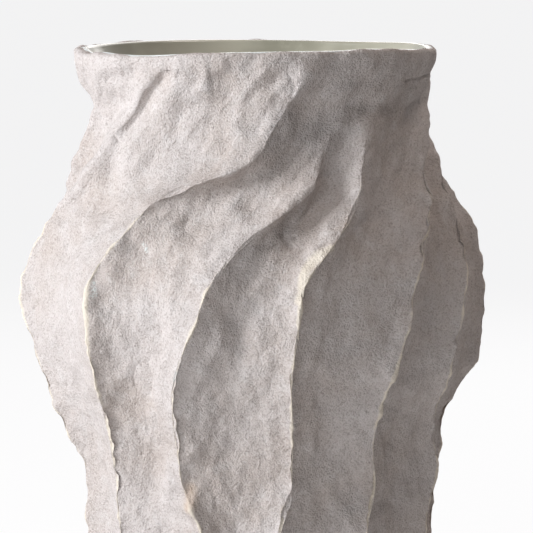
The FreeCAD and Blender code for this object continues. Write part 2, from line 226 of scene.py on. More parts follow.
def length(description, size):
    """A length, given in millimetres."""
    return FloatProperty(description=description, default=size * MM, unit="LENGTH")


def watts(description, power):
    """The power of a lamp."""
    return FloatProperty(description=description, default=power, unit="POWER")


def degrees(description, turn):
    """An angle, given in degrees."""
    return FloatProperty(description=description, default=math.radians(turn), subtype="ANGLE")


def paint(description, *parts):
    """A colour, given by its red, green and blue."""
    return FloatVectorProperty(description=description, default=parts, subtype="COLOR", size=3, min=0, max=1)


class VaseForm(bpy.types.PropertyGroup):
    """Sizes of the vase: those of its construction, and how fingers rounded its rim and its foot."""

    waist_radius: length("Outer radius of the core wall at its waist", 86.2)
    foot_flare: length("How far the core wall flares from the waist to the foot", 11.5)
    belly_swell: length("How far the core wall swells from the waist to the belly", 30.0)
    neck_pinch: length("How far the core wall draws in from the belly to the neck", 29.2)
    collar_flare: length("How far the core wall flares from the neck to the rim", 10.0)
    foot_stretch: length("Height from the foot ring to the waist", 81.0)
    hip_stretch: length("Height from the waist to the belly", 126.0)
    shoulder_stretch: length("Height from the belly to the neck", 107.0)
    collar_stretch: length("Height from the neck to the rim's seat", 23.0)
    wall_thickness: length("Thickness of the core wall", 5.0)
    slab_thickness: length("Thickness of the floor", 10.0)
    ridge_rise: length("How far a crest stands out from the flutes beside it", 12.5)
    ridge_edge: length("Thickness of the pressed-on clay at the bottom of a flute", 1.5)
    belly_lean: length("How far one side of the vase leans out and the other in", 2.5)
    rim_lip: length("Thickness of the rim at its crown", 6.4)
    rim_outer_round: length("Rounding of the rim's outer edge", 1.8)
    rim_fall: length("How far the rim's crown falls towards the inside", 0.2)
    rim_inner_round: length("Rounding of the rim's inner edge", 1.4)
    collar_fill: length("How far the clay under the rim is filled out", 3.0)
    fill_end: length("How far above the rim's seat that filling ends", 2.0)
    foot_softening: length("Size of the rounding at the ridges' lower ends", 2.5)
    glaze_thickness: length("Thickness of the glaze inside", 0.8)
    glaze_reach: length("How far the glaze runs out onto the rim's crown", 2.2)
    glaze_sunk: length("How far the glaze's thin end is sunk into the crown", 0.1)


class ClayTouch(bpy.types.PropertyGroup):
    """How the hands left the wet clay."""

    swell_height: length("Height of the broad swells in the surface", 2.5)
    swell_size: length("Width of a broad swell", 32.0)
    lump_height: length("Height of the finger-sized lumps", 3.3)
    lump_size: length("Width of a finger-sized lump", 14.0)
    dab_height: length("Height of the small dabs and drags", 0.7)
    dab_size: length("Width of a small dab", 4.5)
    finger_depth: length("Depth of the dents that fingertips left", 2.0)
    finger_size: length("Distance from one fingertip dent to the next", 17.0)
    notch_depth: length("Depth of the pinch marks along a crest", 2.3)
    notch_pitch: length("Distance from one pinch mark to the next", 23.0)
    crest_wander: length("How far a crest wanders sideways between pinches", 1.5)
    deepest: length("The deepest that a flute is pressed in", 1.3)
    calm_foot: length("Height over which the marks fade out at the foot", 3.0)
    drag: FloatProperty(description="How much longer than wide the marks are along the ridges", default=1.3)
    seed: IntProperty(description="Which arrangement of lumps and pinches", default=4)


class VaseColours(bpy.types.PropertyGroup):
    """Colours of the clay, its creamy rubbed edges, which also paint a highlight on the crests, and the
    glaze.
    """

    clay: paint("The bare fired clay", 0.585, 0.535, 0.515)
    warm_clay: paint("Where the clay fired warmer", 0.52, 0.455, 0.42)
    pale_clay: paint("Where the clay fired paler", 0.68, 0.645, 0.63)
    sand: paint("Dark grains in the clay", 0.28, 0.235, 0.21)
    # Along the crests this colour also paints a highlight where light grazes their tips, on top of their real
    # creamy wear.
    edge: paint("The creamy edge of a crest", 0.80, 0.725, 0.61)
    bloom: paint("Bluish white deposits beside the crests", 0.80, 0.84, 0.82)
    tinge: paint("Where iron tinged the clay", 0.55, 0.38, 0.24)
    glaze: paint("The glaze where it lies thin", 0.45, 0.43, 0.345)
    # The line on the lip is partly the glaze's pale thin edge, partly a painted highlight.
    lip_glaze_and_highlight: paint("The bluish white line of glaze on the rim", 0.68, 0.72, 0.71)
    deep_glaze: paint("The glaze where it has pooled", 0.27, 0.262, 0.20)


class VaseStage(bpy.types.PropertyGroup):
    """Camera, floor and light."""

    camera_distance: length("Distance of the camera in front of the vase's axis", 2000.0)
    camera_height: length("Height of the camera above the floor", 434.0)
    camera_side: length("How far the camera stands to the right of the axis", 5.6)
    aim_height: length("Height on the axis that the camera looks at", 227.3)
    view_width: length("Width of the view at the axis", 298.6)
    key_power: watts("Power of the large lamp on the left", 30.0)
    key_azimuth: degrees("Where it stands, from the front towards the right", -68)
    key_elevation: degrees("How high it stands", 19)
    key_size: length("Width of the large lamp", 650.0)
    front_power: watts("Power of the soft lamp in front", 6.0)
    back_power: watts("Power of the soft lamp behind", 9.0)
    side_power: watts("Power of the soft lamp high on the right", 8.0)
    fill_strength: FloatProperty(description="Strength of the light that comes from all round", default=0.03)
    backdrop: paint("Colour behind the vase", 0.90, 0.90, 0.905)


def maths(operation, swapped=False):
    """What a wire does with another one or with a number, by way of a Math node."""

    def run(self, other):
        first, second = (other, self) if swapped else (self, other)
        return self.maker.add("ShaderNodeMath", {"operation": operation}, {0: first, 1: second})

    return run


class Wire:
    """One output of a node. Sums, products and powers of wires add their own Math nodes."""

    def __init__(self, maker, socket):
        self.maker = maker
        self.socket = socket

    def take(self, name):
        """Another output of the same node."""
        return Wire(self.maker, self.socket.node.outputs[name])

    __add__, __radd__ = maths("ADD"), maths("ADD", swapped=True)
    __sub__, __rsub__ = maths("SUBTRACT"), maths("SUBTRACT", swapped=True)
    __truediv__, __rtruediv__ = maths("DIVIDE"), maths("DIVIDE", swapped=True)
    __mul__ = maths("MULTIPLY")
    __pow__ = maths("POWER")


class Maker:
    """Adds nodes to one tree."""

    def __init__(self, tree):
        self.tree = tree

    def add(self, kind, settings=None, inputs=None, output=0):
        """Adds a node, sets it up, then fills its sockets, by name or number, with values or wires."""
        node = self.tree.nodes.new(kind)
        for name, value in (settings or {}).items():
            setattr(node, name, value)
        for name, value in (inputs or {}).items():
            if isinstance(value, Wire):
                self.tree.links.new(value.socket, node.inputs[name])
            else:
                node.inputs[name].default_value = value
        return Wire(self, node.outputs[output]) if node.outputs else node

    def noise(self, vector, size, detail, roughness, shift):
        """Noise with features of about that size, from 0 to 1. A shift gives another arrangement."""
        inputs = {"Vector": vector, "W": shift, "Scale": 1.0 / size, "Detail": detail, "Roughness": roughness}
        return self.add("ShaderNodeTexNoise", {"noise_dimensions": "4D"}, inputs)

    def step(self, value, low, high):
        """0 below low, 1 above high, and smooth between them."""
        return self.add(
            "ShaderNodeMapRange",
            {"interpolation_type": "SMOOTHSTEP"},
            {"Value": value, "From Min": low, "From Max": high},
        )

    def mix(self, share, first, second):
        """A colour between two, by a share."""
        settings = {"data_type": "RGBA", "clamp_factor": True}
        return self.add("ShaderNodeMix", settings, {0: share, 6: opaque(first), 7: opaque(second)}, output=2)

    def vector(self, operation, first, second, socket=1):
        """A Vector Math node."""
        return self.add("ShaderNodeVectorMath", {"operation": operation}, {0: first, socket: second})

    def attribute(self, name):
        """A number that the mesh carries, in a material."""
        return self.add("ShaderNodeAttribute", {"attribute_name": name}, output="Fac")

    def finish(self, colour, roughness, shine, bump):
        """Ends a material with its colour, its roughness, its shine and its fine bumps."""
        normal = self.add("ShaderNodeBump", None, bump)
        shader = self.add(
            "ShaderNodeBsdfPrincipled",
            None,
            {"Base Color": colour, "Roughness": roughness, "Specular IOR Level": shine, "Normal": normal},
        )
        self.add("ShaderNodeOutputMaterial", None, {"Surface": shader})


def opaque(colour):
    """A colour of three parts with its alpha, or a wire as it is."""
    return colour if isinstance(colour, Wire) else (*colour, 1.0)


def smooth_through(places, values, at):
    """A smooth curve through the values at those places, with the slope at each taken from its neighbours."""
    places = np.asarray(places, float)
    values = np.asarray(values, float)
    count = len(places)
    low = np.maximum(np.arange(count) - 1, 0)
    high = np.minimum(np.arange(count) + 1, count - 1)
    slopes = (values[high] - values[low]) / (places[high] - places[low])
    step = np.clip(np.searchsorted(places, at, side="right") - 1, 0, count - 2)
    width = places[step + 1] - places[step]
    t = (at - places[step]) / width
    return (
        values[step] * (2 * t**3 - 3 * t**2 + 1)
        + values[step + 1] * (3 * t**2 - 2 * t**3)
        + width * slopes[step] * (t**3 - 2 * t**2 + t)
        + width * slopes[step + 1] * (t**3 - t**2)
    )


def curve_of_sweep(across, along):
    """Curve of an arc that leaves upright and runs that far across and along."""
    return (across**2 + along**2) / (2 * across)


class VaseShape:
    """The vase's outer surface before hands touch it: the core wall, and the ridges on it."""

    def __init__(self, form):
        self.form = form
        self.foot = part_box("ridge_01")[0][2]
        self.seat, self.top = (corner[2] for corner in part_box("rim_coil"))
        self.rim_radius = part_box("rim_coil")[1][0]
        waist = self.foot + form.foot_stretch
        belly = waist + form.hip_stretch
        neck = belly + form.shoulder_stretch
        belly_radius = form.waist_radius + form.belly_swell
        neck_radius = belly_radius - form.neck_pinch
        hip = curve_of_sweep(form.belly_swell, form.hip_stretch)
        shoulder = curve_of_sweep(form.neck_pinch, form.shoulder_stretch)
        foot = curve_of_sweep(form.foot_flare, form.foot_stretch)
        collar = curve_of_sweep(form.collar_flare, form.collar_stretch)
        self.bends = (
            (form.waist_radius, waist, foot, -1),
            (form.waist_radius, waist, hip * (1 - HIP_TURN_SHARE), -1),
            (belly_radius, belly, hip * HIP_TURN_SHARE, 1),
            (belly_radius, belly, shoulder * SHOULDER_TURN_SHARE, 1),
            (neck_radius, neck, shoulder * (1 - SHOULDER_TURN_SHARE), -1),
            (neck_radius, neck, collar, -1),
        )
        self.turns = (
            waist,
            belly - HIP_TURN_SHARE * form.hip_stretch,
            belly,
            belly + SHOULDER_TURN_SHARE * form.shoulder_stretch,
            neck,
        )
        self.levels = [self.foot + share * (self.seat - self.foot) for share in LEVEL_SHARES]

    def rim_top(self, azimuths):
        """Height of the rim at some azimuths."""
        dips = np.array(RIM_DIPS, float)
        turned = (np.degrees(azimuths) + 180) % 360 - 180
        return self.top - smooth_through(dips[:, 0], dips[:, 1], turned) * MM

    def core_radius(self, heights, depth=0.0):
        """Radius of the core wall at some heights, at a depth inside its outer face."""
        heights = np.asarray(heights, float)
        stretch = np.searchsorted(self.turns, heights)
        radii = np.zeros_like(heights)
        for i, (upright_radius, level, curve, side) in enumerate(self.bends):
            here = stretch == i
            centre = upright_radius - curve * side
            reach = curve - depth * side
            radii[here] = centre + side * np.sqrt(reach**2 - (heights[here] - level) ** 2)
        return radii

    def flute_radius(self, heights):
        """Radius of the bottom of the flutes."""
        return self.core_radius(heights) + self.form.ridge_edge

    def crest_azimuth(self, number, heights):
        """Azimuth of a crest in radians, counting on past the last ridge to the first."""
        turns, ridge = divmod(number, len(RIDGES))
        return np.radians(smooth_through(self.levels, RIDGES[ridge][0], heights)) + turns * FULL_TURN

    def crest_radius(self, number, heights):
        """Radius of a crest."""
        top_shares = RIDGES[number % len(RIDGES)][1]
        own = (1.0,) * (len(self.levels) - len(top_shares)) + top_shares
        own_rise = smooth_through(self.levels, own, heights)
        rise = self.form.ridge_rise * smooth_through(self.levels, RISE_SHARES, heights) * own_rise
        lean = self.form.belly_lean * smooth_through(self.levels, LEAN_SHARES, heights)
        return self.flute_radius(heights) + rise + lean * np.sin(self.crest_azimuth(number, heights))

    def flute_azimuth(self, number, heights):
        """Azimuth of the bottom of the flute between a ridge and the next."""
        here, after = self.crest_azimuth(number, heights), self.crest_azimuth(number + 1, heights)
        return here + FLUTE_BOTTOM_SHARE * (after - here)

    def rounded(self, number, heights, closeness):
        """Closeness to a crest with the crest rounded off: a row per height."""
        size = smooth_through(self.levels, ROUND_SHARES, heights)[:, None]
        if number == SHARP_RIDGE:
            size = size * SHARP_SHARE
        return 1 - (np.hypot(1 - closeness, size) - size) / (np.hypot(1, size) - size)

    def skin(self, heights):
        """Azimuth, radius and closeness to a crest of the outer surface: a row per height, columns round it.

        Each ridge has its columns from the flute on its left, over its crest, to before the flute on its
        right."""
        climb = np.linspace(0, 1, FLANK_COLUMNS, endpoint=False)
        closeness = np.concatenate((1 - (1 - climb) ** FLANK_CROWDING, 1 - climb**FLANK_CROWDING))
        left_side = np.arange(RIDGE_COLUMNS) < FLANK_COLUMNS
        azimuths, radii = [], []
        for number in range(len(RIDGES)):
            low = self.flute_radius(heights)[:, None]
            out = self.crest_radius(number, heights)[:, None]
            crest = self.crest_azimuth(number, heights)[:, None]
            left = self.flute_azimuth(number - 1, heights)[:, None]
            right = self.flute_azimuth(number, heights)[:, None]
            flute = np.where(left_side, left, right)
            near = self.rounded(number, heights, closeness)
            hollow = 1 - FLANK_EVEN_SHARE - PINCHED_UP_SHARE
            lift = FLANK_EVEN_SHARE * near + hollow * near**2 + PINCHED_UP_SHARE * near**PINCH_POWER
            azimuths.append(flute + (crest - flute) * closeness)
            radii.append(low + (out - low) * lift)
        return np.hstack(azimuths), np.hstack(radii), np.tile(closeness, len(RIDGES))


def places(azimuths, radii, heights):
    """Points from azimuths, radii and heights, all of one shape or made to match."""
    azimuths, radii, heights = np.broadcast_arrays(azimuths, radii, heights)
    return np.stack((radii * np.sin(azimuths), -radii * np.cos(azimuths), heights), axis=-1)


def round_normals(grid):
    """Unit normals of a grid of points that closes on itself along its rows."""
    across = np.roll(grid, -1, axis=1) - np.roll(grid, 1, axis=1)
    along = np.gradient(grid, axis=0)
    normals = np.cross(across, along)
    return normals / np.linalg.norm(normals, axis=-1, keepdims=True)


def new_mesh(name, points, faces, smooth):
    """A mesh from points and faces. smooth says of each face whether it is shaded smooth."""
    mesh = bpy.data.meshes.new(name)
    mesh.from_pydata(points.reshape(-1, 3).tolist(), [], [list(face) for face in faces])
    mesh.polygons.foreach_set("use_smooth", smooth)
    mesh.update()
    return mesh


def carry(mesh, name, values):
    """Gives each point of a mesh a number, or a direction, under a name that nodes can read."""
    values = np.asarray(values, float)
    kind = "FLOAT_VECTOR" if values.ndim == 2 else "FLOAT"
    layer = mesh.attributes.new(name, kind, "POINT")
    layer.data.foreach_set("vector" if kind == "FLOAT_VECTOR" else "value", values.ravel())


def new_object(name, data):
    """Links a new object with that mesh, lamp or camera into the scene."""
    piece = bpy.data.objects.new(name, data)
    bpy.context.scene.collection.objects.link(piece)
    return piece


CLAY_INPUTS = (
    "Swell Height", "Swell Size", "Lump Height", "Lump Size", "Dab Height", "Dab Size", "Finger Depth",
    "Finger Size", "Notch Depth", "Notch Pitch", "Crest Wander", "Deepest", "Seed",
)


def clay_tree():
    """Geometry nodes that press swells, lumps, dabs, fingertips and pinch marks into a piece of clay."""
    tree = bpy.data.node_groups.get("Pressed clay")
    if tree:
        return tree
    tree = bpy.data.node_groups.new("Pressed clay", "GeometryNodeTree")
    tree.interface.new_socket("Geometry", in_out="INPUT", socket_type="NodeSocketGeometry")
    for name in CLAY_INPUTS:
        tree.interface.new_socket(name, in_out="INPUT", socket_type="NodeSocketFloat")
    tree.interface.new_socket("Clay", in_out="INPUT", socket_type="NodeSocketMaterial")
    tree.interface.new_socket("Geometry", in_out="OUTPUT", socket_type="NodeSocketGeometry")
    make = Maker(tree)
    given = make.add("NodeGroupInput")

    def carried(name, kind="FLOAT"):
        """What each point carries under a name."""
        return make.add("GeometryNodeInputNamedAttribute", {"data_type": kind}, {"Name": name})

    # Numbers that are added to the seed give each kind of mark an arrangement of its own.
    skin, crest, along, ridge = carried("skin"), carried("crest"), carried("along"), carried("ridge")
    laid = carried("laid", "FLOAT_VECTOR")

    def bumps(name, shift, detail):
        """Noise of a named size and height, about zero. A shift gives another arrangement."""
        size, height = given.take(f"{name} Size"), given.take(f"{name} Height")
        return (make.noise(laid, size, detail, 0.5, given.take("Seed") + shift) - 0.5) * 2.0 * height

    def fingertips():
        """Shallow bowls side by side, deeper in some places than in others."""
        size = given.take("Finger Size")
        bowls = make.add(
            "ShaderNodeTexVoronoi",
            {"voronoi_dimensions": "4D", "feature": "SMOOTH_F1"},
            {"Vector": laid, "W": given.take("Seed"), "Scale": 1.0 / size, "Smoothness": 0.35},
            "Distance",
        )
        where = make.add(
            "ShaderNodeTexNoise",
            {"noise_dimensions": "4D"},
            {"Vector": laid, "W": given.take("Seed") + 8.2, "Scale": 0.4 / size, "Detail": 1.0},
        )
        return (bowls - 0.45) * given.take("Finger Depth") * 2.0 * make.step(where, 0.38, 0.6)

    def along_crest(pitch, shift):
        """Noise that runs along a crest, about zero. Each ridge has its own arrangement."""
        own = ridge * 7.3 + given.take("Seed") + shift
        inputs = {"Vector": make.add("ShaderNodeCombineXYZ", None, {"X": along / pitch, "Y": own})}
        inputs.update({"Scale": 1.0, "Detail": 1.5})
        return (make.add("ShaderNodeTexNoise", {"noise_dimensions": "3D"}, inputs) - 0.5) * 2.0

    pitch, notch = given.take("Notch Pitch"), given.take("Notch Depth")
    edge = crest**PINCH_FADE_POWER
    pressed = bumps("Swell", 0.0, 1.0) + bumps("Lump", 3.1, 1.5) + bumps("Dab", 5.7, 2.0) + fingertips()
    pinched = edge * notch * (along_crest(pitch * 0.8, 0.3) * 1.5 - 0.6)
    chipped = crest ** (2 * PINCH_FADE_POWER) * notch * along_crest(pitch * 0.28, 1.9) * 0.65
    floor = 0.0 - given.take("Deepest") - crest * notch * 2.0
    raised = make.add("ShaderNodeMath", {"operation": "MAXIMUM"}, {0: pressed + pinched + chipped, 1: floor})
    sway = along_crest(pitch * 1.3, 2.6) + along_crest(pitch * 0.35, 4.4) * 0.5
    wander = edge * given.take("Crest Wander") * sway
    out = make.vector("SCALE", carried("outward", "FLOAT_VECTOR"), raised * skin, "Scale")
    aside = make.vector("SCALE", carried("sideways", "FLOAT_VECTOR"), wander * skin, "Scale")
    moves = {"Geometry": given, "Offset": make.vector("ADD", out, aside)}
    moved = make.add("GeometryNodeSetPosition", None, moves)
    real = make.add("GeometryNodeRealizeInstances", None, {"Geometry": moved})
    done = make.add("GeometryNodeSetMaterial", None, {"Geometry": real, "Material": given.take("Clay")})
    make.add("NodeGroupOutput", None, {"Geometry": done})
    return tree


def press_clay(piece, touch, material):
    """Runs the clay nodes on a piece and keeps the result as its plain mesh."""
    tree = clay_tree()
    modifier = piece.modifiers.new("Pressed clay", "NODES")
    modifier.node_group = tree
    settings = {name: float(getattr(touch, name.lower().replace(" ", "_"))) for name in CLAY_INPUTS}
    settings["Clay"] = material
    for item in tree.interface.items_tree:
        if item.name in settings:
            modifier[item.identifier] = settings[item.name]
    depsgraph = bpy.context.evaluated_depsgraph_get()
    mesh = bpy.data.meshes.new_from_object(piece.evaluated_get(depsgraph), depsgraph=depsgraph)
    piece.modifiers.remove(modifier)
    piece.data = mesh


def hand_over(piece, slot, *nodes):
    """Hides the nodes that a finished piece stands for and attaches it to what it moves with. The slot is not
    used.
    """
    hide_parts(*nodes)
    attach(piece, BODY)


def new_material(name):
    """A material, and what adds its nodes."""
    material = bpy.data.materials.new(name)
    material.use_nodes = True
    material.node_tree.nodes.clear()
    return material, Maker(material.node_tree)


def clay_material():
    """Bare sandy stoneware: warm and pale patches, dark grains, creamy crests that are partly rubbed and
    partly a painted highlight, a few pale deposits.
    """
    if material := bpy.data.materials.get("Bare stoneware"):
        return material
    material, make = new_material("Bare stoneware")
    colours = bpy.context.scene.vase_colours
    place = make.add("ShaderNodeTexCoord", output="Object")
    # Each noise has its size in metres, its detail, its roughness and a shift. Each step has its two ends.
    crest = make.attribute("crest")
    level = make.add("ShaderNodeSeparateXYZ", None, {"Vector": place}, output="Z")
    patches = make.noise(place, 0.055, 3.0, 0.55, 1.0)
    mottle = make.noise(place, 0.009, 4.0, 0.6, 2.0)
    speckle = make.noise(place, 0.0009, 2.0, 0.6, 3.0)
    grains = make.add("ShaderNodeTexVoronoi", None, {"Vector": place, "Scale": 1 / 0.0021}, output="Distance")
    ragged = make.noise(place, 0.006, 3.0, 0.6, 4.0)
    colour = make.mix(make.step(patches, 0.40, 0.66), colours.clay, colours.warm_clay)
    colour = make.mix(make.step(mottle, 0.45, 0.75) * 0.55, colour, colours.pale_clay)
    colour = make.mix(make.step(speckle, 0.49, 0.68) * 0.52, colour, colours.sand)
    colour = make.mix(make.step(speckle, 0.50, 0.34) * 0.44, colour, colours.pale_clay)
    dark = make.step(grains, 0.24, 0.10) * make.step(ragged, 0.44, 0.60)
    colour = make.mix(dark * 0.45, colour, colours.sand)
    colour = make.mix(make.attribute("tinge") * 0.4, colour, colours.tinge)
    patchy = make.step(make.noise(place, 0.032, 2.0, 0.5, 7.0), 0.34, 0.46) * make.step(level, 0.296, 0.262)
    # Painted highlight along the crests: partly their real creamy wear, partly light grazing their tips,
    # painted into the colour.
    worn_edge_and_highlight = make.step(crest + (ragged - 0.5) * 0.09, 0.945, 0.985) * patchy
    cream = make.attribute("cream") + (ragged - 0.5) * 0.8
    colour = make.mix(worn_edge_and_highlight * 0.8, colour, colours.edge)
    colour = make.mix(make.step(cream, 0.2, 0.9) * 0.7, colour, colours.edge)
    spots = make.step(speckle + make.attribute("deposit") * 0.3, 0.70, 0.84)
    colour = make.mix(spots * make.step(make.attribute("deposit"), 0.02, 0.3) * 0.7, colour, colours.bloom)
    height = speckle * 2.3 + mottle * 1.2 + make.noise(place, 0.0034, 3.0, 0.6, 5.0) * 0.9
    make.finish(colour, 0.95, 0.08, {"Strength": 0.6, "Distance": 0.0011, "Height": height})
    return material


def glaze_material():
    """Glossy grey-green glaze that is paler where it lies thin, with a bluish white line on the lip that is
    partly a painted highlight.
    """
    material, make = new_material("Inside glaze")
    colours = bpy.context.scene.vase_colours
    place = make.add("ShaderNodeTexCoord", output="Object")
    pooled = make.noise(place, 0.05, 3.0, 0.55, 1.0)
    fine = make.noise(place, 0.006, 3.0, 0.6, 2.0)
    colour = make.mix(make.step(pooled, 0.35, 0.65), colours.glaze, colours.deep_glaze)
    colour = make.mix(make.step(fine, 0.55, 0.8) * 0.3, colour, colours.glaze)
    # Painted highlight: the bluish white line on the lip, partly the glaze's own pale thin edge.
    colour = make.mix(make.attribute("lip") * 0.85, colour, colours.lip_glaze_and_highlight)
    bump = {"Strength": 0.3, "Distance": 0.0015, "Height": pooled + fine * 0.2}
    make.finish(colour, 0.16 + fine * 0.1, 0.5, bump)
    return material


class ClaySurface:
    """The vase's whole outside, from the foot up over the rim: rows of points and what each one carries."""

    def __init__(self, scene):
        self.shape = shape = VaseShape(scene.vase_form)
        self.touch = scene.vase_touch
        heights = np.linspace(shape.foot, shape.seat, SKIN_ROWS)
        azimuths, radii, closeness = shape.skin(heights)
        radii += (self.collar_fill(heights) - self.foot_rounding(heights))[:, None]
        rim_radii, rim_heights = self.rim_rows(azimuths[-1], radii[-1])
        self.rim_count = len(rim_radii)
        self.azimuths = np.concatenate((azimuths, np.repeat(azimuths[-1:], self.rim_count - 1, axis=0)))
        self.radii = self.smeared(np.concatenate((radii, rim_radii[1:])))
        self.heights = np.concatenate((np.repeat(heights[:, None], ALL_COLUMNS, axis=1), rim_heights[1:]))
        points = places(self.azimuths, self.radii, self.heights)
        outward = round_normals(points)
        self.points = points - outward * self.marks()[..., None]
        steps = np.linalg.norm(np.diff(points, axis=0), axis=-1)
        along = np.concatenate((np.zeros((1, ALL_COLUMNS)), np.cumsum(steps, axis=0)))
        crest_columns = np.arange(ALL_COLUMNS) // RIDGE_COLUMNS * RIDGE_COLUMNS + FLANK_COLUMNS
        self.carried = {
            "skin": self.touched_share(),
            "crest": closeness * self.crest_share() * self.pinch_share(),
            "along": along[:, crest_columns],
            "ridge": np.broadcast_to(np.arange(ALL_COLUMNS) // RIDGE_COLUMNS, self.radii.shape),
            "outward": outward,
            "sideways": places(self.azimuths + FULL_TURN / 4, 1.0, 0.0),
            "laid": self.laid(),
        }
        for name, line, half_width in TINTS:
            here = self.closeness(line, half_width)
            self.carried[name] = np.maximum(self.carried.get(name, 0.0), here)

    @staticmethod
    def smeared(radii):
        """Radii with the bend at the rim's seat smeared over."""
        low, high = SKIN_ROWS - SMEARED_ROWS, SKIN_ROWS + SMEARED_ROWS // 2
        for _ in range(SMEAR_PASSES):
            beside = radii[low - 1:high - 1] + radii[low + 1:high + 1]
            radii[low:high] = radii[low:high] / 2 + beside / 4
        return radii

    def collar_fill(self, heights):
        """How far the clay under the rim is filled out at each height."""
        form = self.shape.form
        low, high = self.shape.turns[-1], self.shape.seat + form.fill_end
        share = np.clip((heights - low) / (high - low), 0, 1)
        return form.collar_fill * np.sin(share * math.pi) ** 2

    def foot_rounding(self, heights):
        """How far in the skin is at each height, where its lower edge is rounded."""
        size = self.shape.form.foot_softening
        below = np.clip(1 - (heights - self.shape.foot) / size, 0, 1)
        return size * (1 - np.sqrt(1 - below**2)) * FOOT_ROUND_SHARE

    def rim_rows(self, azimuths, seat_radii):
        """Radii and heights of the rim's rows: up its side, over its crown, down inside, under its seat."""
        shape, form = self.shape, self.shape.form
        top = shape.rim_top(azimuths)
        outer = shape.rim_radius * np.ones_like(top)
        inner = outer - form.rim_lip
        outer_round, inner_round = form.rim_outer_round, form.rim_inner_round
        side_top = top - outer_round
        inside_top = top - form.rim_fall - inner_round
        crown_start, crown_end = outer - outer_round, inner + inner_round
        seat_inner = shape.core_radius(np.array([shape.seat]), form.wall_thickness)[0]
        turns = np.linspace(0, math.pi / 2, RIM_ROUND_ROWS)[1:]
        quarter = [(math.sin(turn), math.cos(turn)) for turn in turns]
        rows = []
        for t in np.linspace(0, 1, RIM_SIDE_ROWS):
            ease = 1 - (1 - t) ** RIM_FLARE_POWER
            rows.append((seat_radii + (outer - seat_radii) * ease, shape.seat + (side_top - shape.seat) * t))
        for sine, cosine in quarter:
            rows.append((outer - outer_round * (1 - cosine), top - outer_round * (1 - sine)))
        for t in np.linspace(0, 1, RIM_CROWN_ROWS)[1:]:
            rows.append((crown_start + (crown_end - crown_start) * t, top - form.rim_fall * t**2))
        for sine, cosine in quarter:
            rows.append((inner + inner_round * (1 - sine), inside_top + inner_round * cosine))
        for t in np.linspace(0, 1, RIM_INNER_ROWS)[1:]:
            rows.append((inner + (seat_inner - inner) * t, inside_top + (shape.seat - inside_top) * t))
        rows.append(((seat_inner + seat_radii) / 2, np.full_like(top, shape.seat)))
        radii, heights = zip(*rows)
        return np.stack(radii), np.stack(heights)

    def row_share(self, skin, sides, crown, inside):
        """A share for every row: given along the skin, then up the rim's side, over its crown and inside."""
        up = np.linspace(sides[0], sides[1], RIM_SIDE_ROWS)[1:]
        across = np.linspace(1, 0, 2 * (RIM_ROUND_ROWS - 1) + RIM_CROWN_ROWS - 1)
        over = crown + (sides[1] - crown) * across**2
        rest = np.full(self.rim_count - 1 - len(up) - len(over), inside)
        return np.concatenate((skin, up, over, rest))[:, None]

    def touched_rows(self, skin):
        """How much of the hands' marks each row takes, given along the skin."""
        return self.row_share(skin, RIM_SIDE_TOUCH_SHARES, RIM_CROWN_TOUCH_SHARE, RIM_INSIDE_TOUCH_SHARE)

    def touched_share(self):
        """How much of the hands' marks each point takes."""
        above_foot = self.heights[:SKIN_ROWS, 0] - self.shape.foot
        groove, half_width, _ = CREASES[0]
        calm = 1 - GROOVE_CALM_SHARE * self.closeness(groove, 2 * half_width)
        return self.touched_rows(np.clip(above_foot / self.touch.calm_foot, 0, 1)) * calm

    def crest_share(self):
        """How much of a crest is left at each row: it fades into the rim."""
        neck = self.shape.turns[-1]
        climb = np.clip((self.heights[:SKIN_ROWS, 0] - neck) / (self.shape.top - neck), 0, 1)
        left = 1 - CREST_FADE_SHARE * climb
        return self.row_share(left, (left[-1], 0.0), 0.0, 0.0)

    def pinch_share(self):
        """How far each crest stands out and how upright it runs, as the root that the clay nodes undo."""
        heights = self.heights[:SKIN_ROWS, 0]
        low = self.shape.flute_radius(heights)
        full = FULL_PINCH_SHARE * self.shape.form.ridge_rise
        shares = []
        for number in range(len(RIDGES)):
            out = self.shape.crest_radius(number, heights)
            run = out * np.gradient(self.shape.crest_azimuth(number, heights)) / np.gradient(heights)
            shares.append((out - low) / full / np.hypot(1, run))
        share = np.clip(np.stack(shares, axis=1), LEAST_PINCH_SHARE, 1) ** (1 / PINCH_FADE_POWER)
        share = np.concatenate((share, np.repeat(share[-1:], self.rim_count - 1, axis=0)))
        return np.repeat(share, RIDGE_COLUMNS, axis=1)

    def laid(self):
        """Where each point was before the ridges were swept round, squeezed so that marks run along them."""
        sweep = np.zeros_like(self.heights)
        for number in range(len(RIDGES)):
            sweep += self.shape.crest_azimuth(number, np.minimum(self.heights, self.shape.seat))
        sweep *= SWEPT_SHARE / len(RIDGES)
        return places(self.azimuths - sweep, self.radii, self.heights / self.touch.drag)

    def marks(self):
        """How far each point is pressed in by the folds, cracks and dents of single places."""
        pressed = np.zeros_like(self.radii)
        for line, half_width, depth in CREASES:
            pressed += depth * MM * self.closeness(line, half_width)
        for spot, half_width, depth in DENTS:
            pressed += depth * MM * self.closeness((spot, spot), half_width)
        pressed[SKIN_ROWS:] *= self.touched_rows(np.ones(SKIN_ROWS))[SKIN_ROWS:]
        return pressed

    def closeness(self, line, half_width):
        """How close each point is to a line of places, from 0 to 1."""
        distance = np.minimum.reduce([self.distance(a, b) for a, b in zip(line, line[1:])])
        return np.exp(-((distance / (half_width * MM)) ** 2))

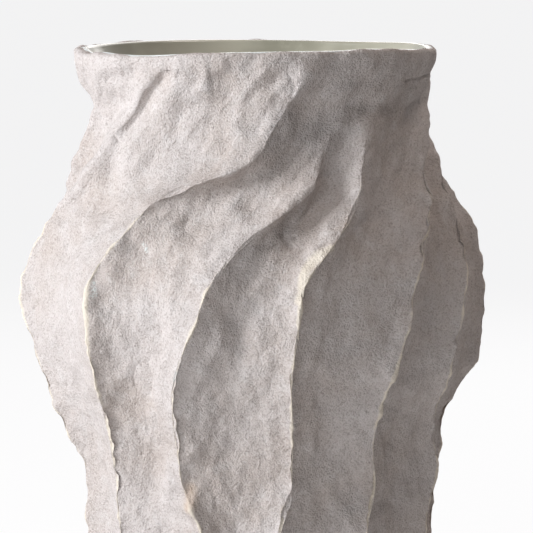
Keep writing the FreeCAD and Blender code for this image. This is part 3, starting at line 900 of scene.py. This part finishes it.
    def distance(self, start, end):
        """Distance of each point, measured over the surface, from a short line between two places."""
        turned = self.azimuths - math.radians(start[0])
        turned -= FULL_TURN * np.round(turned / FULL_TURN)
        across, up = turned * self.radii, self.heights - start[1] * MM
        run_across = math.radians(end[0] - start[0]) * self.radii
        run_up = (end[1] - start[1]) * MM
        run = np.maximum(run_across**2 + run_up**2, MM**2)
        share = np.clip((across * run_across + up * run_up) / run, 0, 1)
        return np.hypot(across - run_across * share, up - run_up * share)

    def give(self, mesh, rows, columns, bare):
        """Gives a mesh what some rows and columns carry, and the bare points that end each row nothing."""
        for name, values in self.carried.items():
            part = values[rows][:, columns]
            part = np.hstack((part, np.zeros((len(part), bare, *part.shape[2:]))))
            carry(mesh, name, part.reshape(-1, 3) if part.ndim == 3 else part.ravel())


class VASE_OT_ridges(bpy.types.Operator):
    """Build the thirteen clay ridges"""

    bl_idname = "vase.ridges"
    bl_label = "Ridges"

    def execute(self, context):
        surface = ClaySurface(context.scene)
        material = clay_material()
        for number in range(len(RIDGES)):
            piece = self.ridge(surface, number)
            press_clay(piece, surface.touch, material)
            hand_over(piece, CLAY_SLOT, node_of(number))
        return {"FINISHED"}

    @staticmethod
    def ridge(surface, number):
        """One closed ridge. Each row is its skin from left to right and its base back along the core wall."""
        shape = surface.shape
        heights = surface.heights[:SKIN_ROWS, 0]
        columns = ridge_columns(number)
        left = shape.flute_azimuth(number - 1, heights)[:, None]
        right = shape.flute_azimuth(number, heights)[:, None]
        across = np.linspace(1, 0, BASE_COLUMNS)
        base = places(left + (right - left) * across, shape.core_radius(heights)[:, None], heights[:, None])
        points = np.hstack((surface.points[:SKIN_ROWS, columns], base))
        around = len(columns) + BASE_COLUMNS
        faces = ring_faces(SKIN_ROWS, around, closed=False)
        # The left side is split into triangles like the right side of the ridge before it, which it touches.
        faces[around - 1::around] = [face[1:] + face[:1] for face in faces[around - 1::around]]
        smooth = [face % around < RIDGE_COLUMNS for face in range(len(faces))] + [False, False]
        under = list(range(around))
        over = [(SKIN_ROWS - 1) * around + point for point in under]
        mesh = new_mesh(node_of(number), points, faces + [under[::-1], over], smooth)
        surface.give(mesh, slice(SKIN_ROWS), columns, BASE_COLUMNS)
        return new_object(f"clay_{node_of(number)}", mesh)


def node_of(number):
    """Name of a ridge's node."""
    return f"ridge_{number + 1:02d}"


def ridge_columns(number):
    """Columns of one ridge, with the first of the next ridge as its last."""
    return (np.arange(RIDGE_COLUMNS + 1) + number * RIDGE_COLUMNS) % ALL_COLUMNS


class VASE_OT_rim(bpy.types.Operator):
    """Build the rim that caps the wall"""

    bl_idname = "vase.rim"
    bl_label = "Rim"

    def execute(self, context):
        surface = ClaySurface(context.scene)
        rows = slice(SKIN_ROWS - 1, None)
        points = surface.points[rows]
        faces = ring_faces(len(points), ALL_COLUMNS, closed=True)
        mesh = new_mesh("rim_coil", points, faces, [True] * len(faces))
        surface.give(mesh, rows, np.arange(ALL_COLUMNS), 0)
        piece = new_object("clay_rim", mesh)
        press_clay(piece, surface.touch, clay_material())
        hand_over(piece, CLAY_SLOT, "rim_coil")
        return {"FINISHED"}


def ring_faces(rows, columns, closed):
    """Quads of a grid that closes on itself round the vase, and from its last row to its first if closed."""
    row, column = np.meshgrid(np.arange(rows if closed else rows - 1), np.arange(columns), indexing="ij")
    above, beside = (row + 1) % rows, (column + 1) % columns
    row, above = row * columns, above * columns
    corners = (row + column, row + beside, above + beside, above + column)
    return np.stack(corners, axis=-1).reshape(-1, 4).tolist()


class VASE_OT_seams(bpy.types.Operator):
    """Shade the ridges and the rim as one smeared-over surface"""

    bl_idname = "vase.seams"
    bl_label = "Smeared seams"

    def execute(self, context):
        ridges = [bpy.data.objects[f"clay_{node_of(number)}"] for number in range(len(RIDGES))]
        rim = bpy.data.objects["clay_rim"]
        skins = [mesh_points(piece).reshape(SKIN_ROWS, -1, 3)[:, :RIDGE_COLUMNS] for piece in ridges]
        rim_rows = mesh_points(rim).reshape(-1, ALL_COLUMNS, 3)
        normals = round_normals(np.concatenate((np.hstack(skins), rim_rows[1:-1])))
        for number, piece in enumerate(ridges):
            own = normals[:SKIN_ROWS, ridge_columns(number)]
            set_normals(piece.data, np.pad(own, ((0, 0), (0, BASE_COLUMNS), (0, 0))))
        set_normals(rim.data, np.pad(normals[SKIN_ROWS - 1:], ((0, 1), (0, 0), (0, 0))))
        return {"FINISHED"}


def mesh_points(piece):
    """The points of a piece's mesh."""
    points = np.empty(len(piece.data.vertices) * 3)
    piece.data.vertices.foreach_get("co", points)
    return points.reshape(-1, 3)


def set_normals(mesh, normals):
    """Shades the smooth faces of a mesh by a normal for each point, or by their own where that is nothing."""
    corners = np.empty(len(mesh.loops), int)
    mesh.loops.foreach_get("vertex_index", corners)
    smooth = np.empty(len(mesh.polygons), bool)
    mesh.polygons.foreach_get("use_smooth", smooth)
    sizes = np.empty(len(mesh.polygons), int)
    mesh.polygons.foreach_get("loop_total", sizes)
    loops = normals.reshape(-1, 3)[corners] * np.repeat(smooth, sizes)[:, None]
    mesh.normals_split_custom_set(loops.tolist())


class VASE_OT_glaze(bpy.types.Operator):
    """Build the glaze lining inside"""

    bl_idname = "vase.glaze"
    bl_label = "Glaze lining"

    columns = 256
    wall_rows = 160
    floor_rows = 40
    pale_rows = 2

    def execute(self, context):
        shape = VaseShape(context.scene.vase_form)
        form = shape.form
        skin = form.wall_thickness + form.glaze_thickness
        slab = shape.foot + form.slab_thickness
        floor = slab + form.glaze_thickness
        azimuths = np.linspace(0, FULL_TURN, self.columns, endpoint=False)
        edge = shape.core_radius(np.array([floor]), skin)[0]
        rows = self.lip(shape, azimuths) + self.wall(shape, azimuths, skin, shape.seat, floor)
        for share in np.linspace(1, 0, self.floor_rows)[1:-1]:
            rows.append(places(azimuths, edge * share, floor))
        back = self.wall(shape, azimuths, form.wall_thickness, slab, shape.seat)
        mesh = self.lining(back + rows, floor, slab)
        # The lip's first rows take the bluish white line, partly a painted highlight.
        at_lip = np.zeros(len(mesh.vertices))
        at_lip[len(back) * self.columns:][:self.pale_rows * self.columns] = 1.0
        carry(mesh, "lip", at_lip)
        piece = new_object("inside_glaze", mesh)
        mesh.materials.append(glaze_material())
        hand_over(piece, GLAZE_SLOT, "glaze_lining")
        return {"FINISHED"}

    def wall(self, shape, azimuths, depth, start, end):
        """Rows of points at a depth in the core wall, from one height to another."""
        heights = np.linspace(start, end, self.wall_rows)
        radii = shape.core_radius(heights, depth)
        return [places(azimuths, radius, height) for radius, height in zip(radii, heights)]

    @staticmethod
    def lip(shape, azimuths):
        """The glaze's upper edge: its thin end on the rim's crown, and then over the rim's inner edge."""
        form = shape.form
        bend = form.rim_inner_round
        radius = shape.rim_radius - form.rim_lip + bend
        level = shape.rim_top(azimuths) - form.rim_fall - bend
        rows = [places(azimuths, radius + form.glaze_reach, level + bend + form.glaze_sunk)]
        for share in np.linspace(0, 1, LIP_ROWS):
            turn = share * math.pi / 2
            reach = bend + form.glaze_thickness * (LIP_THIN_SHARE + (1 - LIP_THIN_SHARE) * share)
            rows.append(places(azimuths, radius - reach * math.sin(turn), level + reach * math.cos(turn)))
        return rows

    def lining(self, rows, floor, slab):
        """One closed skin: rows of points up the glaze's back and down its face, and their middle points."""
        points = np.concatenate((np.concatenate(rows), [[0, 0, floor], [0, 0, slab]]))
        middle_face, middle_back = len(points) - 2, len(points) - 1
        last = (len(rows) - 1) * self.columns
        faces = ring_faces(len(rows), self.columns, closed=False)
        faces += [[last + c, last + (c + 1) % self.columns, middle_face] for c in range(self.columns)]
        faces += [[(c + 1) % self.columns, c, middle_back] for c in range(self.columns)]
        return new_mesh("glaze_lining", points, faces, [True] * len(faces))


class VASE_OT_core(bpy.types.Operator):
    """Finish the wall rings, the base slab and the foot ring"""

    bl_idname = "vase.core"
    bl_label = "Core walls"

    def execute(self, context):
        material = clay_material()
        for name in WALL_NODES:
            piece = frame["nodes"][name]
            if not piece.material_slots:
                piece.data.materials.append(material)
            for slot in piece.material_slots:
                slot.material = material
        return {"FINISHED"}


class VASE_OT_stage(bpy.types.Operator):
    """Set up the floor, the light and the camera"""

    bl_idname = "vase.stage"
    bl_label = "Stage"

    def execute(self, context):
        stage = context.scene.vase_stage
        self.world(stage)
        self.floor(stage)
        self.lamps(stage)
        self.camera(stage)
        context.scene.view_settings.view_transform = "Standard"
        return {"FINISHED"}

    @staticmethod
    def world(stage):
        """Soft light from all round, which shows as the backdrop's colour."""
        world = bpy.data.worlds.new("Studio")
        bpy.context.scene.world = world
        world.use_nodes = True
        world.node_tree.nodes.clear()
        make = Maker(world.node_tree)
        rays = seen_rays(make)
        seen = make.add("ShaderNodeBackground", None, {"Color": (*stage.backdrop, 1.0), "Strength": 1.0})
        fill = make.add("ShaderNodeBackground", None, {"Color": FILL_LIGHT, "Strength": stage.fill_strength})
        mixed = make.add("ShaderNodeMixShader", None, {0: rays, 1: fill, 2: seen})
        make.add("ShaderNodeOutputWorld", None, {"Surface": mixed})

    @staticmethod
    def floor(stage):
        """A wide pale floor that takes the vase's shadow."""
        mesh = bpy.data.meshes.new("Floor")
        corners = [(x * FLOOR_REACH, y * FLOOR_REACH, 0) for x, y in ((-1, -1), (1, -1), (1, 1), (-1, 1))]
        mesh.from_pydata(corners, [], [(0, 1, 2, 3)])
        piece = new_object("Floor", mesh)
        material, make = new_material("Pale floor")
        rays = seen_rays(make)
        matte = make.add("ShaderNodeBsdfDiffuse", None, {"Color": FLOOR_COLOUR})
        glow = make.add("ShaderNodeEmission", None, {"Color": (*stage.backdrop, 1.0), "Strength": FLOOR_GLOW})
        seen = make.add("ShaderNodeMixShader", None, {0: FLOOR_GLOW_SHARE, 1: matte, 2: glow})
        mixed = make.add("ShaderNodeMixShader", None, {0: rays, 1: matte, 2: seen})
        make.add("ShaderNodeOutputMaterial", None, {"Surface": mixed})
        mesh.materials.append(material)

    @staticmethod
    def lamps(stage):
        """A large lamp on the left, a softer one in front, one behind, and a warmer one high on the right."""
        soft_lamp("Key", stage.key_azimuth, stage.key_elevation, stage.key_size, stage.key_power, COOL_LIGHT)
        soft_lamp("Front", math.radians(-24), math.radians(14), 0.8, stage.front_power, COOL_LIGHT)
        soft_lamp("Back", math.radians(165), math.radians(32), 1.1, stage.back_power, SOFT_LIGHT)
        soft_lamp("Side", math.radians(95), math.radians(66), 0.5, stage.side_power, WARM_LIGHT)

    @staticmethod
    def camera(stage):
        """A long lens, a little above the rim."""
        camera = bpy.data.cameras.new("Camera")
        piece = new_object("Camera", camera)
        drop = stage.camera_height - stage.aim_height
        reach = math.hypot(stage.camera_distance, drop)
        camera.sensor_fit = "HORIZONTAL"
        camera.sensor_width = 36.0
        camera.lens = camera.sensor_width * reach / stage.view_width
        camera.clip_end = 100.0
        piece.location = (stage.camera_side, -stage.camera_distance, stage.camera_height)
        piece.rotation_euler = Euler((math.pi / 2 - math.atan2(drop, stage.camera_distance), 0, 0))
        bpy.context.scene.camera = piece


def seen_rays(make):
    """1 for the rays that show the backdrop: those of the camera, of reflections and of glass."""
    rays = make.add("ShaderNodeLightPath", output="Is Camera Ray")
    return rays + rays.take("Is Glossy Ray") + rays.take("Is Transmission Ray")


def soft_lamp(name, azimuth, elevation, size, power, colour):
    """A square lamp that shines on the vase from a direction."""
    lamp = bpy.data.lights.new(name, "AREA")
    lamp.size = size
    lamp.energy = power
    lamp.color = colour
    piece = new_object(name, lamp)
    away = Vector(places(azimuth, math.cos(elevation), math.sin(elevation)))
    piece.location = Vector((0, 0, LAMP_AIM)) + away * LAMP_DISTANCE
    piece.rotation_euler = away.to_track_quat("Z", "Y").to_euler()


class VASE_PT_panel(bpy.types.Panel):
    """Lists the vase's steps and settings in the sidebar"""

    bl_label = "Urn Vase"
    bl_idname = "VASE_PT_panel"
    bl_space_type = "VIEW_3D"
    bl_region_type = "UI"
    bl_category = "Vase"

    def draw(self, context):
        for operator in STEPS:
            self.layout.operator(operator.bl_idname)
        for group in GROUPS:
            settings = getattr(context.scene, group)
            box = self.layout.box()
            for name in settings.__annotations__:
                box.prop(settings, name, text=name.replace("_", " ").capitalize())


STEPS = (VASE_OT_ridges, VASE_OT_rim, VASE_OT_seams, VASE_OT_glaze, VASE_OT_core, VASE_OT_stage)
GROUPS = {
    "vase_form": VaseForm,
    "vase_touch": ClayTouch,
    "vase_colours": VaseColours,
    "vase_stage": VaseStage,
}
CLASSES = (*GROUPS.values(), *STEPS, VASE_PT_panel)


def register():
    for kind in CLASSES:
        bpy.utils.register_class(kind)
    for name, group in GROUPS.items():
        setattr(bpy.types.Scene, name, PointerProperty(type=group))


def unregister():
    for name in GROUPS:
        delattr(bpy.types.Scene, name)
    for kind in reversed(CLASSES):
        bpy.utils.unregister_class(kind)


def main():
    register()
    bpy.ops.vase.ridges()
    bpy.ops.vase.rim()
    bpy.ops.vase.seams()
    bpy.ops.vase.glaze()
    bpy.ops.vase.core()
    bpy.ops.vase.stage()


if __name__ == "__main__":
    main()
